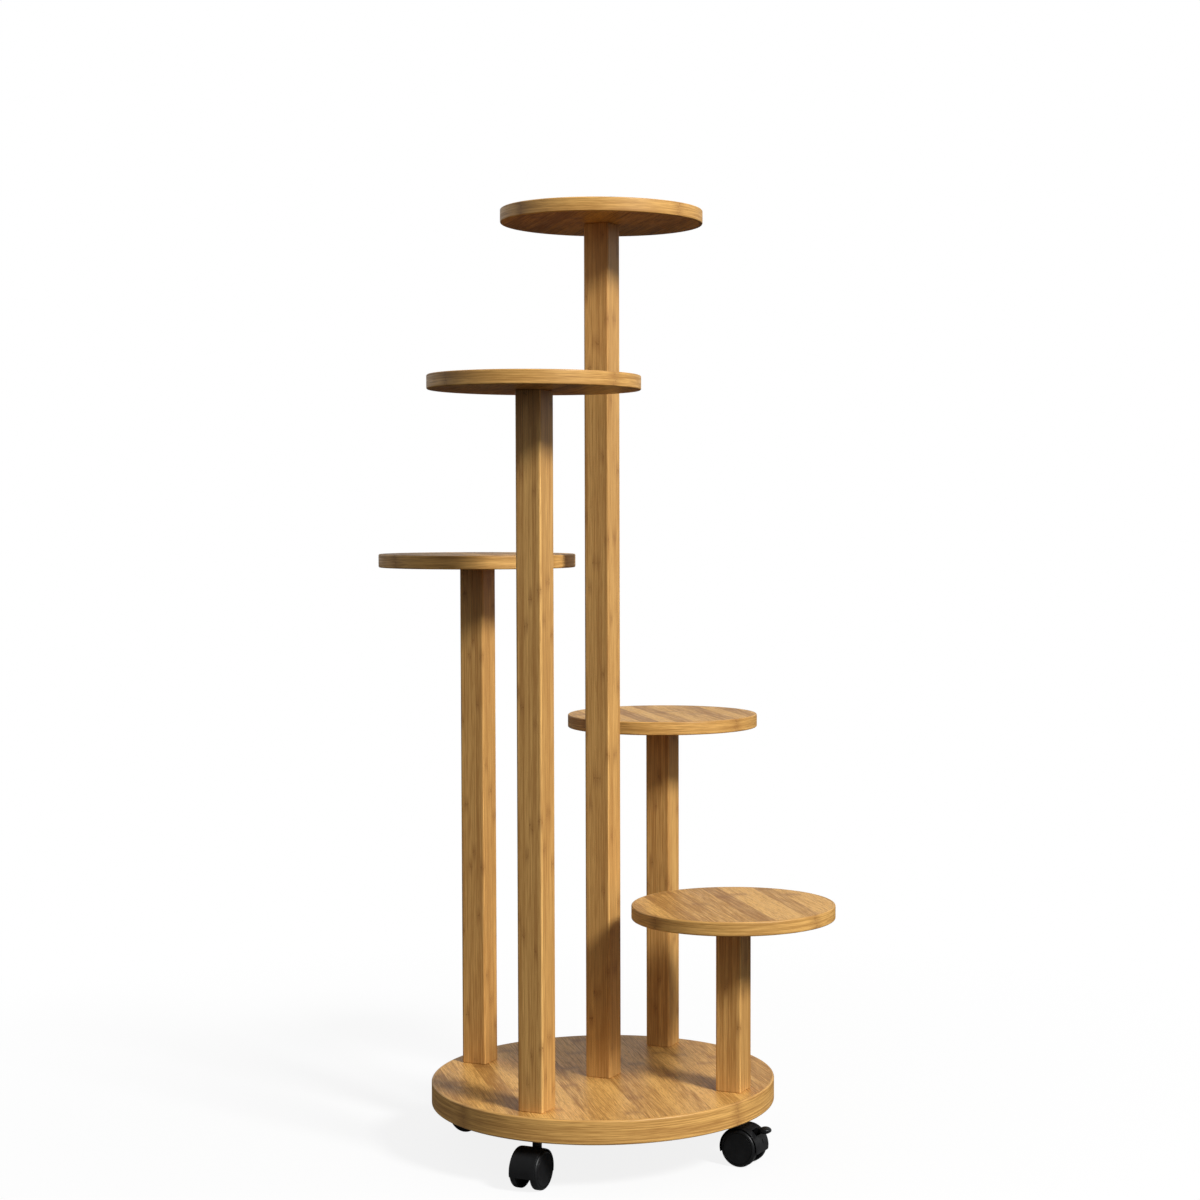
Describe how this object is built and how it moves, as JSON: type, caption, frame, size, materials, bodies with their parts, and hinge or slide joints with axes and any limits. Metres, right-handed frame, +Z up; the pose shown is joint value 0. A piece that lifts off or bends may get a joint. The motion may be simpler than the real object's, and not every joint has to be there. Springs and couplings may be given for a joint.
{
  "type": "rolling plant stand",
  "caption": "Rolling plant stand: a round bamboo base on braked swivel casters carries square posts of stepped height, each with a round pot tray.",
  "frame": {"origin": "on the floor, under the centre post's axis", "axes": "+Z up the posts; the lowest tray stands on +X, then +Y, -X and -Y in rising order, and the tallest on the origin's axis"},
  "size_m": [0.538, 0.538, 1.041],
  "materials": {
    "bamboo": "caramel bamboo strips under a satin lacquer",
    "dowel_beech": "plain beech dowel",
    "insert_brass": "turned brass",
    "zinc_steel": "bright zinc plate",
    "black_steel": "black coated steel",
    "black_nylon": "black nylon with a fine moulded texture"
  },
  "bodies": {
    "stand": {"base_board": "bamboo", "base_edge_band": "bamboo", "centre_bolt": "zinc_steel", "post_1": "bamboo", "post_2": "bamboo", "post_3": "bamboo", "post_4": "bamboo", "post_5": "bamboo", "tray_1": "bamboo", "tray_2": "bamboo", "tray_3": "bamboo", "tray_4": "bamboo", "tray_5": "bamboo", "tray_edge_band_1": "bamboo", "tray_edge_band_2": "bamboo", "tray_edge_band_3": "bamboo", "tray_edge_band_4": "bamboo", "tray_edge_band_5": "bamboo", "foot_insert_1": "insert_brass", "foot_insert_2": "insert_brass", "foot_insert_3": "insert_brass", "foot_insert_4": "insert_brass", "foot_insert_5": "insert_brass", "foot_dowel_1": "dowel_beech", "foot_dowel_2": "dowel_beech", "foot_dowel_3": "dowel_beech", "foot_dowel_4": "dowel_beech", "foot_dowel_5": "dowel_beech", "tray_stud_1": "zinc_steel", "tray_stud_2": "zinc_steel", "tray_stud_3": "zinc_steel", "tray_stud_4": "zinc_steel", "tray_stud_5": "zinc_steel", "tray_insert_1": "insert_brass", "tray_insert_2": "insert_brass", "tray_insert_3": "insert_brass", "tray_insert_4": "insert_brass", "tray_insert_5": "insert_brass", "stem_right": "black_steel", "stem_back": "black_steel", "stem_left": "black_steel", "stem_front": "black_steel"},
    "caster_right": {"hood_right": "black_nylon", "axle_right": "zinc_steel"},
    "wheel_right_a": {"wheel_right_a": "black_nylon"},
    "wheel_right_b": {"wheel_right_b": "black_nylon"},
    "brake_right": {"brake_lever_right": "black_nylon"},
    "caster_back": {"hood_back": "black_nylon", "axle_back": "zinc_steel"},
    "wheel_back_a": {"wheel_back_a": "black_nylon"},
    "wheel_back_b": {"wheel_back_b": "black_nylon"},
    "caster_left": {"hood_left": "black_nylon", "axle_left": "zinc_steel"},
    "wheel_left_a": {"wheel_left_a": "black_nylon"},
    "wheel_left_b": {"wheel_left_b": "black_nylon"},
    "brake_left": {"brake_lever_left": "black_nylon"},
    "caster_front": {"hood_front": "black_nylon", "axle_front": "zinc_steel"},
    "wheel_front_a": {"wheel_front_a": "black_nylon"},
    "wheel_front_b": {"wheel_front_b": "black_nylon"}
  },
  "joints": [
    {"name": "swivel_right", "type": "hinge", "parent": "stand", "child": "caster_right", "pos_m": [0.158, 0, 0.0206], "axis": [0, 0, 1], "continuous": true},
    {"name": "spin_right_a", "type": "hinge", "parent": "caster_right", "child": "wheel_right_a", "pos_m": [0.17117, -0.00092, 0.0206], "axis": [0.0698, 0.9976, 0], "continuous": true},
    {"name": "spin_right_b", "type": "hinge", "parent": "caster_right", "child": "wheel_right_b", "pos_m": [0.17117, -0.00092, 0.0206], "axis": [0.0698, 0.9976, 0], "continuous": true},
    {"name": "brake_right", "type": "hinge", "parent": "caster_right", "child": "brake_right", "pos_m": [0.18169, -0.00166, 0.0301], "axis": [0.0698, 0.9976, 0], "range_deg": [0, 17]},
    {"name": "swivel_back", "type": "hinge", "parent": "stand", "child": "caster_back", "pos_m": [0, 0.158, 0.0206], "axis": [0, 0, 1], "continuous": true},
    {"name": "spin_back_a", "type": "hinge", "parent": "caster_back", "child": "wheel_back_a", "pos_m": [0, 0.1712, 0.0206], "axis": [-1, 0, 0], "continuous": true},
    {"name": "spin_back_b", "type": "hinge", "parent": "caster_back", "child": "wheel_back_b", "pos_m": [0, 0.1712, 0.0206], "axis": [-1, 0, 0], "continuous": true},
    {"name": "swivel_left", "type": "hinge", "parent": "stand", "child": "caster_left", "pos_m": [-0.158, 0, 0.0206], "axis": [0, 0, 1], "continuous": true},
    {"name": "spin_left_a", "type": "hinge", "parent": "caster_left", "child": "wheel_left_a", "pos_m": [-0.17115, 0.00115, 0.0206], "axis": [-0.0872, -0.9962, 0], "continuous": true},
    {"name": "spin_left_b", "type": "hinge", "parent": "caster_left", "child": "wheel_left_b", "pos_m": [-0.17115, 0.00115, 0.0206], "axis": [-0.0872, -0.9962, 0], "continuous": true},
    {"name": "brake_left", "type": "hinge", "parent": "caster_left", "child": "brake_left", "pos_m": [-0.18166, 0.00207, 0.0301], "axis": [-0.0872, -0.9962, 0], "range_deg": [0, 17]},
    {"name": "swivel_front", "type": "hinge", "parent": "stand", "child": "caster_front", "pos_m": [0, -0.158, 0.0206], "axis": [0, 0, 1], "continuous": true},
    {"name": "spin_front_a", "type": "hinge", "parent": "caster_front", "child": "wheel_front_a", "pos_m": [0, -0.1712, 0.0206], "axis": [1, 0, 0], "continuous": true},
    {"name": "spin_front_b", "type": "hinge", "parent": "caster_front", "child": "wheel_front_b", "pos_m": [0, -0.1712, 0.0206], "axis": [1, 0, 0], "continuous": true}
  ]
}
